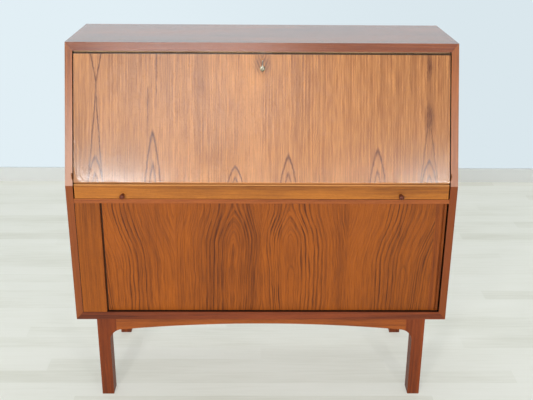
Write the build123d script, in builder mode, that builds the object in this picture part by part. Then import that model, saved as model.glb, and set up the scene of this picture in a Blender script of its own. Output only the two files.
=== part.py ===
from build123d import *

import os
from math import atan2, cos, sin, sqrt

os.makedirs("parts", exist_ok=True)

# A secretary desk in teak: a case with a sloped drop front above a shallow drawer, a cupboard below
# with a tambour (roll) door that slides left, and a separate leg frame with arched aprons.
# Millimetres. +X is to the right, +Y to the back, +Z up; the origin is on the floor, under the
# centre of the whole outline, knobs included.

# ---- driving dimensions ----
width = 1100.0
depth = 447.0             # case, at the cupboard
top_depth = 310.0         # case, at the top board
height = 1072.0
case_bottom = 273.0       # underside of the case, which is the height of the legs
slope_start = 696.0       # height at which the front edges turn back
knob_reach = 20.0         # how far the drawer knobs stand out of the case front

side_thickness = 21.0
top_thickness = 23.0
bottom_thickness = 24.0
shelf_thickness = 18.0
divider_thickness = 13.0  # board between the shallow drawer and the cupboard
panel_thickness = 6.0     # plywood of the back and the liners

divider_underside = 644.0
drawer_top = 699.0        # top edge of the shallow drawer's front

# ---- places worked out from them ----
front = (knob_reach - depth) / 2
back = (knob_reach + depth) / 2
side_outer = width / 2
side_inner = side_outer - side_thickness
top_front = front + depth - top_depth
top_underside = height - top_thickness
bottom_topside = case_bottom + bottom_thickness
divider_topside = divider_underside + divider_thickness

slope_run = top_front - front
slope_rise = height - slope_start
slope = atan2(slope_run, slope_rise)      # lean of the drop front from the vertical
up_slope = (sin(slope), cos(slope))       # (Y, Z) along the drop front, upwards
into_case = (cos(slope), -sin(slope))     # (Y, Z) square to the drop front, inwards

case_profile = [
    (front, case_bottom),
    (front, slope_start),
    (top_front, height),
    (back, height),
    (back, case_bottom),
]


def on_slope(depth_in, z):
    """Y of the point at height z that lies depth_in behind the plane of the sloped front edges."""
    return front + (depth_in - (z - slope_start) * into_case[1]) / into_case[0]


def save(piece, name):
    """Label a finished piece and write it as its own STEP file."""
    piece.part.label = name
    export_step(piece.part, f"parts/{name}.step")


def board(name, x, y, z, edge_round=0.0):
    """A plain board between its limits along each axis, its long front arrises eased if asked."""
    with BuildPart() as piece:
        with BuildSketch(Plane.XY.offset(z[0])):
            with Locations(((x[0] + x[1]) / 2, (y[0] + y[1]) / 2)):
                Rectangle(x[1] - x[0], y[1] - y[0])
        extrude(amount=z[1] - z[0])
        if edge_round:
            fillet(piece.faces().sort_by(Axis.Y)[0].edges(), edge_round)
    save(piece, name)


# =====================================================================================
# Case: four boards mitred at the corners, rebated behind for the back panel
# =====================================================================================
rebate_width = 10.0
rebate_depth = 8.0
inner_back = back - rebate_depth
arris = 1.0               # eased outer edges of the case

# The drop front turns on pins near its lower corners. Its bottom end is cut level, and the pivot
# sits as far above that end as it is behind the outer face.
flap_thickness = 16.0
flap_recess = 0.5
pivot_inset = 6.5
flap_gap_below = 2.9      # lets the lower arris swing past the drawer front
flap_bottom = drawer_top + flap_gap_below
pivot_z = flap_bottom + pivot_inset
pivot_y = on_slope(flap_recess + pivot_inset, pivot_z)
pin_radius = 3.0
pin_in_side = 12.0
pivot_plate = (12.0, 30.0, 2.5)   # plate round each pin, let into the side: depth, height, thickness
pivot_plate_rise = 7.0            # its middle above the pin

# The writing shelf is level with the open flap's inner face. Its front edge leans with the closed
# flap and is coved where the flap's end swings past.
writing_topside = pivot_z + flap_thickness - pivot_inset
writing_underside = writing_topside - shelf_thickness
cove_radius = 10.6
writing_clearance = 0.6
writing_front = on_slope(flap_recess + flap_thickness + writing_clearance, writing_underside)

housing = 5.0             # depth of the housings that hold the two fixed boards
housing_stop = 13.0       # they stop this far behind the case front, out of sight

lock_backset = 42.0       # keyhole to the flap's top edge, along the slope
flap_gap_above = 5.5
flap_top = top_underside - flap_gap_above
strike_size = (52.0, 18.0, 1.5)
bolt_width = 18.0
bolt_thickness = 3.0
bolt_throw = 10.0
bolt_depth = 11.5         # middle of the bolt behind the flap's outer face
strike_y = on_slope(flap_recess + bolt_depth, top_underside)
mortise_depth = 10.0      # mortise in the top board that the bolt enters
mortise_breadth = 9.0
mortise_shift = 1.0       # it lies this far behind the strike's middle, because the bolt leans


def case_board(outline):
    """Extrude a front-view outline through the case's depth and cut it to the side profile."""
    with BuildSketch(Plane.XZ.offset(-back)) as front_view:
        Polygon(*outline, align=None)
    extrude(front_view.sketch, amount=depth)
    with BuildSketch(Plane.YZ) as side_view:
        Polygon(*case_profile, align=None)
    extrude(side_view.sketch, amount=width / 2, both=True, mode=Mode.INTERSECT)


def cut_back_rebate():
    """The step behind that takes the back panel."""
    with BuildSketch(Plane.XZ.offset(-back)) as step:
        with Locations((0, (height + case_bottom) / 2)):
            Rectangle(width - 2 * rebate_width, height - case_bottom - 2 * rebate_width)
    extrude(step.sketch, amount=rebate_depth, mode=Mode.SUBTRACT)


def cut_housing(side, y_start, z, thickness):
    """A stopped groove across a side board for the end of a fixed board."""
    with BuildSketch(Plane.XY.offset(z)) as groove:
        with Locations((side * side_inner, (y_start + inner_back) / 2)):
            Rectangle(2 * housing, inner_back - y_start)
    extrude(groove.sketch, amount=thickness, mode=Mode.SUBTRACT)


for side, name in ((-1, "left"), (1, "right")):
    with BuildPart() as side_board:
        case_board([
            (side * side_outer, case_bottom),
            (side * side_outer, height),
            (side * side_inner, top_underside),
            (side * side_inner, bottom_topside),
        ])
        outer_arrises = side_board.faces().sort_by(Axis.X)[0 if side < 0 else -1].edges()
        fillet(outer_arrises.filter_by(Plane.XY, reverse=True), arris)
        cut_back_rebate()
        cut_housing(side, front + housing_stop, divider_underside, divider_thickness)
        cut_housing(side, writing_front + housing_stop, writing_underside, shelf_thickness)
        # bore of the flap's pivot pin, and the recess of its plate
        with BuildSketch(Plane.YZ.offset(side * side_inner)):
            with Locations((pivot_y, pivot_z + pivot_plate_rise)):
                Rectangle(pivot_plate[0], pivot_plate[1])
        extrude(amount=side * pivot_plate[2], mode=Mode.SUBTRACT)
        with BuildSketch(Plane.YZ.offset(side * side_inner)):
            with Locations((pivot_y, pivot_z)):
                Circle(pin_radius)
        extrude(amount=side * pin_in_side, mode=Mode.SUBTRACT)
    save(side_board, f"side_{name}")

with BuildPart() as top_board:
    case_board([
        (-side_outer, height),
        (side_outer, height),
        (side_inner, top_underside),
        (-side_inner, top_underside),
    ])
    cut_back_rebate()
    # seat of the strike plate, and the mortise that the lock's bolt enters
    with BuildSketch(Plane.XY.offset(top_underside)):
        with Locations((0, strike_y)):
            Rectangle(strike_size[0], strike_size[1])
    extrude(amount=strike_size[2], mode=Mode.SUBTRACT)
    with BuildSketch(Plane.XY.offset(top_underside)):
        with Locations((0, strike_y + mortise_shift)):
            Rectangle(bolt_width + 4, mortise_breadth)
    extrude(amount=mortise_depth, mode=Mode.SUBTRACT)
save(top_board, "top_board")

# ---- tambour track: front run, round the left corners, back run ----
slat_thickness = 7.0
tongue_thickness = 4.2
track_width = 4.6
track_depth = 7.0
slat_front = front + 11.8
track_y = slat_front + slat_thickness / 2
track_corner = 40.0
track_left = -side_inner + 8
track_back = inner_back - 9
track_end = 60.0          # the back run ends here, with room for the whole curtain


def cut_track(plane, amount):
    """The groove that the tambour's tongues run in, cut into one board."""
    with BuildSketch(plane) as track:
        with BuildLine():
            Line((side_inner - 3, track_y), (track_left + track_corner, track_y))
            RadiusArc(
                (track_left + track_corner, track_y),
                (track_left, track_y + track_corner),
                track_corner,
            )
            Line((track_left, track_y + track_corner), (track_left, track_back - track_corner))
            RadiusArc(
                (track_left, track_back - track_corner),
                (track_left + track_corner, track_back),
                track_corner,
            )
            Line((track_left + track_corner, track_back), (track_end, track_back))
        trace(line_width=track_width)
    extrude(track.sketch, amount=amount, mode=Mode.SUBTRACT)


# ---- corner blocks of the leg frame are screwed up into the bottom board ----
leg_outer = 493.0
leg_width = 36.0
leg_depth = 45.0
front_leg = front + 13.0          # front face of the front legs and apron
rear_leg = front + 385.0          # front face of the rear legs
apron_thickness = 20.0
rail_inset = 8.0
rail_height = 40.0
ear = 21.0                        # the leg's top widens towards the apron by this much
corner_reach = 45.0
block_thickness = 20.0
screw_radius = 2.0
screw_depth = 14.0
leg_inner = leg_outer - leg_width
joint_x = leg_inner - ear
rail_inner = leg_outer - rail_inset - apron_thickness
screw_x = joint_x - 2.0
screw_ys = (front_leg + leg_depth + 12.0, rear_leg - 12.0)
screw_spots = [(sx * screw_x, y) for sx in (-1, 1) for y in screw_ys]

with BuildPart() as bottom_board:
    case_board([
        (-side_outer, case_bottom),
        (side_outer, case_bottom),
        (side_inner, bottom_topside),
        (-side_inner, bottom_topside),
    ])
    cut_back_rebate()
    cut_track(Plane.XY.offset(bottom_topside), -track_depth)
    with BuildSketch(Plane.XY.offset(case_bottom)):
        with Locations(*screw_spots):
            Circle(screw_radius)
    extrude(amount=screw_depth, mode=Mode.SUBTRACT)
save(bottom_board, "bottom_board")


def fixed_board_outline(y_start, notch):
    """A full-width board between the sides, its ends housed in them behind a front notch."""
    Polygon(
        (-side_inner, y_start),
        (side_inner, y_start),
        (side_inner, y_start + notch),
        (side_inner + housing, y_start + notch),
        (side_inner + housing, inner_back),
        (-side_inner - housing, inner_back),
        (-side_inner - housing, y_start + notch),
        (-side_inner, y_start + notch),
        align=None,
    )


edge_recess = 1.0         # boards and stile between the sides stand back this far

with BuildPart() as divider_board:
    with BuildSketch(Plane.XY.offset(divider_underside)):
        fixed_board_outline(front + edge_recess, housing_stop - edge_recess)
    extrude(amount=divider_thickness)
    cut_track(Plane.XY.offset(divider_underside), track_depth)
save(divider_board, "divider_board")

with BuildPart() as writing_shelf:
    with BuildSketch(Plane.XY.offset(writing_underside)):
        fixed_board_outline(writing_front, housing_stop)
    extrude(amount=shelf_thickness)
    with BuildSketch(Plane.YZ):
        Polygon(
            (writing_front - shelf_thickness, writing_underside),
            (writing_front, writing_underside),
            (on_slope(flap_recess + flap_thickness + writing_clearance, writing_topside), writing_topside),
            (writing_front - shelf_thickness, writing_topside),
            align=None,
        )
        with Locations((pivot_y, pivot_z)):
            Circle(cove_radius)
    extrude(amount=side_outer, both=True, mode=Mode.SUBTRACT)
save(writing_shelf, "writing_shelf")

board(
    "back_panel",
    (-side_outer + rebate_width, side_outer - rebate_width),
    (inner_back, inner_back + panel_thickness),
    (case_bottom + rebate_width, height - rebate_width),
)

# =====================================================================================
# Drop front: panel, pivot pins and bushes, lock, bolt, key, escutcheon and strike
# =====================================================================================
flap_side_gap = 3.0
flap_half = side_inner - flap_side_gap
bush_radius = 5.0
bush_length = 13.0
bush_clearance = 0.05     # between pin and bush
flap_arris = 3.0          # the lower outer arris is rounded, so that it swings clear
keyhole_z = flap_top - lock_backset * up_slope[1]
keyhole_y = on_slope(flap_recess, keyhole_z)

# local frame on the flap's outer face: x to the right, y up the slope, z out of the face
flap_face = Plane(
    origin=(0, keyhole_y, keyhole_z),
    x_dir=(1, 0, 0),
    z_dir=(0, -into_case[0], -into_case[1]),
)
case_size = (56.0, 76.0, 9.0)     # lock case before it is trimmed: width, height, thickness
case_wall = 1.5
case_drop = 26.0                  # from the keyhole down to the case's lower end
keyway_radius = 3.2
escutcheon_radius = 7.5
escutcheon_thickness = 1.8
escutcheon_inlay = 1.0            # let into the flap by this much

with BuildPart() as flap_panel:
    outer_bottom = (on_slope(flap_recess, flap_bottom), flap_bottom)
    outer_top = (on_slope(flap_recess, flap_top), flap_top)
    inner_top = (on_slope(flap_recess + flap_thickness, flap_top), flap_top)
    inner_bottom = (on_slope(flap_recess + flap_thickness, flap_bottom), flap_bottom)
    with BuildSketch(Plane.YZ) as flap_profile:
        Polygon(outer_bottom, outer_top, inner_top, inner_bottom, align=None)
        lower_outer = flap_profile.vertices().sort_by(Axis.X)[0]
        fillet(lower_outer, flap_arris)
    extrude(amount=flap_half, both=True)
    for side in (-1, 1):
        with BuildSketch(Plane.YZ.offset(side * flap_half)):
            with Locations((pivot_y, pivot_z)):
                Circle(bush_radius)
        extrude(amount=-side * bush_length, mode=Mode.SUBTRACT)
    # mortise for the lock, open at the inner face and at the top edge
    with BuildSketch(flap_face.offset(-flap_thickness)):
        with Locations((0, case_size[1] / 2 - case_drop)):
            Rectangle(case_size[0], case_size[1])
    extrude(amount=case_size[2], mode=Mode.SUBTRACT)
    with BuildSketch(flap_face):
        Circle(keyway_radius)
    extrude(amount=-flap_thickness, mode=Mode.SUBTRACT)
    with BuildSketch(flap_face):
        Circle(escutcheon_radius)
    extrude(amount=-escutcheon_inlay, mode=Mode.SUBTRACT)
save(flap_panel, "flap_panel")

with BuildPart() as flap_pivots:
    for side in (-1, 1):
        with BuildSketch(Plane.YZ.offset(side * side_inner)):
            with Locations((pivot_y, pivot_z + pivot_plate_rise)):
                Rectangle(pivot_plate[0], pivot_plate[1])
        extrude(amount=side * pivot_plate[2])
        with BuildSketch(Plane.YZ.offset(side * (side_inner + pin_in_side))):
            with Locations((pivot_y, pivot_z)):
                Circle(pin_radius)
        extrude(amount=-side * (pin_in_side + flap_side_gap + bush_length - 1))
save(flap_pivots, "flap_pivots")

with BuildPart() as pivot_bushes:
    for side in (-1, 1):
        with BuildSketch(Plane.YZ.offset(side * flap_half)):
            with Locations((pivot_y, pivot_z)):
                Circle(bush_radius)
                Circle(pin_radius + bush_clearance, mode=Mode.SUBTRACT)
        extrude(amount=-side * bush_length)
save(pivot_bushes, "pivot_bushes")

cavity_floor = -flap_thickness + case_wall
cavity_height = 64.5
cavity_middle = 7.8               # above the keyhole
bolt_play = 0.1                   # around the bolt, where it leaves the lock case
bolt_back = -bolt_depth - bolt_thickness / 2
with BuildPart() as lock_case:
    with BuildSketch(flap_face.offset(-flap_thickness)):
        with Locations((0, case_size[1] / 2 - case_drop)):
            Rectangle(case_size[0], case_size[1])
    extrude(amount=case_size[2])
    # trimmed level with the flap's top edge
    with BuildSketch(Plane.YZ):
        with Locations((0, flap_top + case_size[1] / 2)):
            Rectangle(depth, case_size[1])
    extrude(amount=case_size[0], both=True, mode=Mode.SUBTRACT)
    with BuildSketch(flap_face.offset(cavity_floor)):
        with Locations((0, cavity_middle)):
            Rectangle(case_size[0] - 2 * case_wall, cavity_height)
    extrude(amount=case_size[2] - 2 * case_wall, mode=Mode.SUBTRACT)
    with BuildSketch(flap_face.offset(bolt_back - bolt_play)):
        with Locations((0, lock_backset)):
            Rectangle(bolt_width + 4 * bolt_play, case_drop)
    extrude(amount=bolt_thickness + 2 * bolt_play, mode=Mode.SUBTRACT)
    with BuildSketch(flap_face):
        Circle(keyway_radius)
    extrude(amount=-flap_thickness + case_wall + 1, mode=Mode.SUBTRACT)
save(lock_case, "lock_case")

bolt_tail = 3.2           # lower end of the bolt above the key's axis
bolt_tip = lock_backset + 3.4     # upper end, just inside the flap's top edge
with BuildPart() as lock_bolt:
    with BuildSketch(flap_face.offset(bolt_back)):
        with Locations((0, (bolt_tail + bolt_tip) / 2)):
            Rectangle(bolt_width, bolt_tip - bolt_tail)
    extrude(amount=bolt_thickness)
save(lock_bolt, "lock_bolt")

shank_radius = 2.6
bow_size = (16.0, 12.5)   # half height up the slope, half length along the key
bow_hole = (12.2, 8.7)
bow_centre = 46.0         # out of the flap's face
bow_thickness = 2.8
bit_depth = bolt_depth + 2.0
bit_size = (9.5, 2.0, 4.0)        # reach from the axis, thickness, length along the key
collar_radius = 4.0
collar_gap = 3.0                  # collar above the flap's face
with BuildPart() as key:
    with BuildSketch(flap_face.offset(-bit_depth)):
        Circle(shank_radius)
    extrude(amount=bit_depth + bow_centre - (bow_size[1] + bow_hole[1]) / 2)
    # collar where the shank meets the escutcheon
    with BuildSketch(flap_face.offset(collar_gap)):
        Circle(collar_radius)
    extrude(amount=2.5)
    # bit, inside the lock case and below the bolt's tail
    with BuildSketch(flap_face.offset(-bit_depth)):
        with Locations((bit_size[0] / 2, 0)):
            Rectangle(bit_size[0], bit_size[1])
    extrude(amount=bit_size[2])
    # bow: an oval ring in the plane that holds the key's axis and the slope
    with BuildSketch(Plane(origin=flap_face.from_local_coords((0, 0, bow_centre)),
                           x_dir=flap_face.y_dir, z_dir=(1, 0, 0))):
        Ellipse(*bow_size)
        Ellipse(*bow_hole, mode=Mode.SUBTRACT)
    extrude(amount=bow_thickness / 2, both=True)
save(key, "key")

with BuildPart() as escutcheon:
    with BuildSketch(flap_face.offset(-escutcheon_inlay)):
        Circle(escutcheon_radius)
        Circle(keyway_radius, mode=Mode.SUBTRACT)
    extrude(amount=escutcheon_thickness)
    chamfer(escutcheon.faces().sort_by(Axis.Y)[0].edges().sort_by(SortBy.RADIUS)[-1], 0.6)
save(escutcheon, "escutcheon")

with BuildPart() as strike_plate:
    with BuildSketch(Plane.XY.offset(top_underside)):
        with Locations((0, strike_y)):
            Rectangle(strike_size[0], strike_size[1])
        with Locations((0, strike_y + mortise_shift)):
            Rectangle(bolt_width + 2, 6.0, mode=Mode.SUBTRACT)
    extrude(amount=strike_size[2])
save(strike_plate, "strike_plate")

# The closed flap leans against a strip under the top board
stop_size = 14.0
stop_clearance = 0.3
with BuildPart() as flap_stop:
    stop_depth = flap_recess + flap_thickness + stop_clearance
    stop_low = top_underside - stop_size
    with BuildSketch(Plane.YZ):
        Polygon(
            (on_slope(stop_depth, top_underside), top_underside),
            (on_slope(stop_depth, stop_low), stop_low),
            (on_slope(stop_depth, stop_low) + stop_size, stop_low),
            (on_slope(stop_depth, top_underside) + stop_size, top_underside),
            align=None,
        )
    extrude(amount=side_inner, both=True)
save(flap_stop, "flap_stop")

# =====================================================================================
# Shallow drawer under the flap: pulled out, it carries the open flap
# =====================================================================================
drawer_gap = 0.7
drawer_bottom_z = divider_topside + drawer_gap
drawer_front_y = front + edge_recess
drawer_front_thickness = 18.0
drawer_side_gap = 3.0
drawer_half = side_inner - drawer_side_gap
drawer_length = 400.0
drawer_wall = 12.0
drawer_wall_top = 695.0
drawer_floor_z = 664.0
drawer_floor_thickness = 5.0
face_round = 1.2
floor_groove = 6.0        # the drawer's floor is let into its sides by this much
knob_x = 390.5
knob_z = 669.0
knob_radius = 7.2
knob_neck = 4.6
knob_tenon = 3.5
tenon_length = 14.0
knob_length = knob_reach + edge_recess
dome_rim = 5.8
dome_rise = 1.0
dome_radius = (dome_rim**2 + dome_rise**2) / (2 * dome_rise)
drawer_box_front = drawer_front_y + drawer_front_thickness
drawer_box_back = drawer_box_front + drawer_length

with BuildPart() as drawer_front:
    with BuildSketch(Plane.XZ.offset(-drawer_box_front)):
        with Locations((0, (drawer_bottom_z + drawer_top) / 2)):
            Rectangle(2 * drawer_half, drawer_top - drawer_bottom_z)
    extrude(amount=drawer_front_thickness)
    face_arrises = drawer_front.faces().sort_by(Axis.Y)[0].edges()
    fillet(face_arrises, face_round)
    with BuildSketch(Plane.XZ.offset(-drawer_box_front)):
        with Locations((-knob_x, knob_z), (knob_x, knob_z)):
            Circle(knob_tenon)
    extrude(amount=drawer_front_thickness, mode=Mode.SUBTRACT)
save(drawer_front, "drawer_front")

for side, name in ((-1, "left"), (1, "right")):
    with BuildPart() as drawer_side:
        with BuildSketch(Plane.YZ.offset(side * drawer_half)):
            with Locations(((drawer_box_front + drawer_box_back) / 2,
                            (drawer_bottom_z + drawer_wall_top) / 2)):
                Rectangle(drawer_length, drawer_wall_top - drawer_bottom_z)
        extrude(amount=-side * drawer_wall)
        # groove for the drawer's floor
        with BuildSketch(Plane.XY.offset(drawer_floor_z)):
            with Locations((side * (drawer_half - drawer_wall),
                            (drawer_box_front + drawer_box_back) / 2)):
                Rectangle(2 * floor_groove, drawer_length)
        extrude(amount=drawer_floor_thickness, mode=Mode.SUBTRACT)
    save(drawer_side, f"drawer_side_{name}")

board(
    "drawer_back",
    (-drawer_half + drawer_wall, drawer_half - drawer_wall),
    (drawer_box_back - drawer_wall, drawer_box_back),
    (drawer_floor_z + drawer_floor_thickness, drawer_wall_top),
)
board(
    "drawer_bottom",
    (-drawer_half + drawer_wall - floor_groove, drawer_half - drawer_wall + floor_groove),
    (drawer_box_front, drawer_box_back),
    (drawer_floor_z, drawer_floor_z + drawer_floor_thickness),
)

with BuildPart() as drawer_knobs:
    for side in (-1, 1):
        # turned profile, as (radius, distance out of the drawer front): tenon, neck, domed head
        outward = Plane(origin=(side * knob_x, drawer_front_y, knob_z), x_dir=(1, 0, 0), z_dir=(0, 0, -1))
        with BuildSketch(outward):
            with BuildLine():
                Polyline((0, -tenon_length), (knob_tenon, -tenon_length), (knob_tenon, 0), (knob_neck + 1, 0))
                ThreePointArc((knob_neck + 1, 0), (knob_neck, 5.0), (knob_neck + 0.6, 10.0))
                ThreePointArc((knob_neck + 0.6, 10.0), (knob_radius - 0.6, 12.8), (knob_radius, 16.0))
                Line((knob_radius, 16.0), (dome_rim, knob_length - dome_rise))
                RadiusArc((dome_rim, knob_length - dome_rise), (0, knob_length), -dome_radius)
                Line((0, knob_length), (0, -tenon_length))
            make_face()
        revolve(axis=Axis((side * knob_x, 0, knob_z), (0, 1, 0)))
save(drawer_knobs, "drawer_knobs")

# =====================================================================================
# Cupboard: stile, tambour curtain with its lead rail, liners, partition and shelves
# =====================================================================================
stile_right = -458.0
stile_thickness = 9.0
board(
    "tambour_stile",
    (-side_inner, stile_right),
    (front + edge_recess, front + edge_recess + stile_thickness),
    (bottom_topside, divider_underside),
)

lead_right = side_inner - 2.5     # play beside the closed door
lead_width = 30.0
lead_left = lead_right - lead_width
lead_thickness = 12.0
slat_pitch = 20.0
slat_gap = 0.4
slat_count = 48
shoulder_gap = 1.2                # between the slats' shoulders and the boards
slat_low = bottom_topside + shoulder_gap
slat_high = divider_underside - shoulder_gap
tongue_low = bottom_topside - track_depth + 1
tongue_high = divider_underside + track_depth - 1
curtain_left = lead_left - slat_count * slat_pitch

with BuildPart() as tambour_slats:
    for number in range(slat_count):
        middle = lead_left - (number + 0.5) * slat_pitch
        with BuildSketch(Plane.XY.offset(slat_low)):
            with Locations((middle, track_y)):
                Rectangle(slat_pitch - slat_gap, slat_thickness)
        extrude(amount=slat_high - slat_low)
        with BuildSketch(Plane.XY.offset(tongue_low)):
            with Locations((middle, track_y)):
                Rectangle(slat_pitch - 2, tongue_thickness)
        extrude(amount=tongue_high - tongue_low)
save(tambour_slats, "tambour_slats")

canvas_thickness = 0.8
canvas_margin = 8.0
board(
    "tambour_canvas",
    (curtain_left, lead_left - slat_gap),
    (slat_front + slat_thickness, slat_front + slat_thickness + canvas_thickness),
    (slat_low + canvas_margin, slat_high - canvas_margin),
)

grip_width = 5.6
grip_depth = 6.0
grip_strip = 6.0                  # lip of the lead rail to the right of the grip groove
with BuildPart() as lead_rail:
    with BuildSketch(Plane.XY.offset(slat_low)):
        with Locations(((lead_left + lead_right) / 2, slat_front + lead_thickness / 2)):
            Rectangle(lead_width, lead_thickness)
        grip_right = lead_right - grip_strip
        Polygon(
            (grip_right, slat_front - 1),
            (grip_right, slat_front + grip_depth),
            (grip_right - grip_width, slat_front + grip_depth),
            (grip_right - grip_width, slat_front - 1),
            align=None,
            mode=Mode.SUBTRACT,
        )
    extrude(amount=slat_high - slat_low)
    with BuildSketch(Plane.XY.offset(tongue_low)):
        with Locations(((lead_left + lead_right) / 2, track_y)):
            Rectangle(lead_width - 2, tongue_thickness)
    extrude(amount=slat_low - tongue_low)
    with BuildSketch(Plane.XY.offset(slat_high)):
        with Locations(((lead_left + lead_right) / 2, track_y)):
            Rectangle(lead_width - 2, tongue_thickness)
    extrude(amount=tongue_high - slat_high)
save(lead_rail, "lead_rail")

# Liners keep what is stored clear of the curtain's run down the left side and along the back
liner_gap = 4.0
liner_x = track_left + slat_thickness / 2 + liner_gap
liner_y = track_back - slat_thickness / 2 - liner_gap
cupboard_front = front + 34.0
board(
    "liner_left",
    (liner_x, liner_x + panel_thickness),
    (track_y + track_corner, liner_y - panel_thickness),
    (bottom_topside, divider_underside),
)
board(
    "liner_back",
    (liner_x, side_inner),
    (liner_y - panel_thickness, liner_y),
    (bottom_topside, divider_underside),
)
cupboard_back = liner_y - panel_thickness
cupboard_left = liner_x + panel_thickness
partition_half = shelf_thickness / 2
board(
    "partition",
    (-partition_half, partition_half),
    (cupboard_front, cupboard_back),
    (bottom_topside, divider_underside),
    edge_round=1.0,
)
shelf_z = 462.0
shelf_play = 1.0
batten_width = 8.0
batten_height = 12.0
bays = (
    ("left", cupboard_left, -partition_half),
    ("right", partition_half, side_inner),
)
for name, x0, x1 in bays:
    board(
        f"shelf_{name}",
        (x0 + shelf_play, x1 - shelf_play),
        (cupboard_front + 10, cupboard_back - 1),
        (shelf_z, shelf_z + shelf_thickness),
        edge_round=1.0,
    )
with BuildPart() as shelf_battens:
    # strips fixed to the walls, one under each end of each shelf
    with BuildSketch(Plane.XY.offset(shelf_z - batten_height)):
        for name, x0, x1 in bays:
            with Locations((x0 + batten_width / 2, (cupboard_front + cupboard_back) / 2),
                           (x1 - batten_width / 2, (cupboard_front + cupboard_back) / 2)):
                Rectangle(batten_width, cupboard_back - cupboard_front - 60)
    extrude(amount=batten_height)
save(shelf_battens, "shelf_battens")

# =====================================================================================
# Pigeonholes behind the flap, with three small drawers on the writing shelf
# =====================================================================================
pigeon_front = inner_back - 190.0
pigeon_thickness = 10.0
pigeon_shelf_z = writing_topside + 74.0
bay_width = (2 * side_inner - 2 * pigeon_thickness) / 3
divider_x = bay_width / 2 + pigeon_thickness / 2
pigeon_half_depth = (inner_back - pigeon_front) / 2
letter_shelf_z = 916.0
letter_shelf_thickness = 8.0

with BuildPart() as pigeonhole_shelf:
    with BuildSketch(Plane.XY.offset(pigeon_shelf_z)):
        with Locations((0, pigeon_front + pigeon_half_depth)):
            Rectangle(2 * side_inner, 2 * pigeon_half_depth)
        # cross-lap slots, open at the front
        with Locations((-divider_x, pigeon_front + pigeon_half_depth / 2),
                       (divider_x, pigeon_front + pigeon_half_depth / 2)):
            Rectangle(pigeon_thickness, pigeon_half_depth, mode=Mode.SUBTRACT)
    extrude(amount=pigeon_thickness)
save(pigeonhole_shelf, "pigeonhole_shelf")

for side, name in ((-1, "left"), (1, "right")):
    with BuildPart() as divider:
        with BuildSketch(Plane.YZ.offset(side * divider_x)):
            with Locations((pigeon_front + pigeon_half_depth,
                            (writing_topside + top_underside) / 2)):
                Rectangle(2 * pigeon_half_depth, top_underside - writing_topside)
            with Locations((pigeon_front + 1.5 * pigeon_half_depth,
                            pigeon_shelf_z + pigeon_thickness / 2)):
                Rectangle(pigeon_half_depth, pigeon_thickness, mode=Mode.SUBTRACT)
        extrude(amount=pigeon_thickness / 2, both=True)
    save(divider, f"pigeonhole_divider_{name}")
    board(
        f"letter_shelf_{name}",
        tuple(sorted((side * (divider_x + pigeon_thickness / 2), side * side_inner))),
        (pigeon_front + 4, inner_back),
        (letter_shelf_z, letter_shelf_z + letter_shelf_thickness),
    )

small_gap = 1.0
small_front_thickness = 10.0
small_length = 178.0
small_wall = 6.0
small_low = writing_topside + small_gap
small_high = pigeon_shelf_z - small_gap
small_half = bay_width / 2 - small_gap
small_front_y = pigeon_front + 1.0
tray_high = small_high - 16.0
tray_floor = 4.0
notch_radius = 13.0
for bay, name in ((-1, "left"), (0, "middle"), (1, "right")):
    centre = bay * (bay_width + pigeon_thickness)
    with BuildPart() as small_front:
        with BuildSketch(Plane.XZ.offset(-small_front_y)):
            with Locations((centre, (small_low + small_high) / 2)):
                Rectangle(2 * small_half, small_high - small_low)
            # half-round finger notch in the top edge
            with Locations((centre, small_high)):
                Circle(notch_radius, mode=Mode.SUBTRACT)
        extrude(amount=-small_front_thickness)
    save(small_front, f"small_drawer_front_{name}")
    with BuildPart() as tray:
        tray_y = small_front_y + small_front_thickness
        with BuildSketch(Plane.XY.offset(small_low)):
            with Locations((centre, tray_y + small_length / 2)):
                Rectangle(2 * small_half, small_length)
        extrude(amount=tray_high - small_low)
        with BuildSketch(Plane.XY.offset(small_low + tray_floor)):
            with Locations((centre, tray_y + (small_length - small_wall) / 2)):
                Rectangle(2 * (small_half - small_wall), small_length - small_wall)
        extrude(amount=tray_high - small_low, mode=Mode.SUBTRACT)
    save(tray, f"small_drawer_tray_{name}")

# =====================================================================================
# Leg frame: four legs, arched front and rear aprons, side rails, corner blocks, screws
# =====================================================================================
corner_radius = 40.0              # inside corner between leg and apron
apron_end = 231.0                 # underside of the apron where the corner begins
apron_middle = 251.0              # underside at the top of the arch
corner_x = leg_inner - corner_radius
corner_z = apron_end - corner_radius
joint_z = corner_z + sqrt(corner_radius**2 - (corner_x - joint_x)**2)
foot_round = 3.0

for side, side_name in ((-1, "left"), (1, "right")):
    for face_y, end_name in ((front_leg, "front"), (rear_leg, "rear")):
        with BuildPart() as leg:
            with BuildSketch(Plane.XZ.offset(-face_y - leg_depth)):
                with BuildLine():
                    Line((side * leg_outer, 0), (side * leg_outer, case_bottom))
                    Line((side * leg_outer, case_bottom), (side * joint_x, case_bottom))
                    Line((side * joint_x, case_bottom), (side * joint_x, joint_z))
                    RadiusArc(
                        (side * joint_x, joint_z),
                        (side * leg_inner, corner_z),
                        side * corner_radius,
                    )
                    Line((side * leg_inner, corner_z), (side * leg_inner, 0))
                    Line((side * leg_inner, 0), (side * leg_outer, 0))
                make_face()
            extrude(amount=leg_depth)
            fillet(leg.faces().sort_by(Axis.Z)[0].edges(), foot_round)
        save(leg, f"leg_{end_name}_{side_name}")

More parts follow.
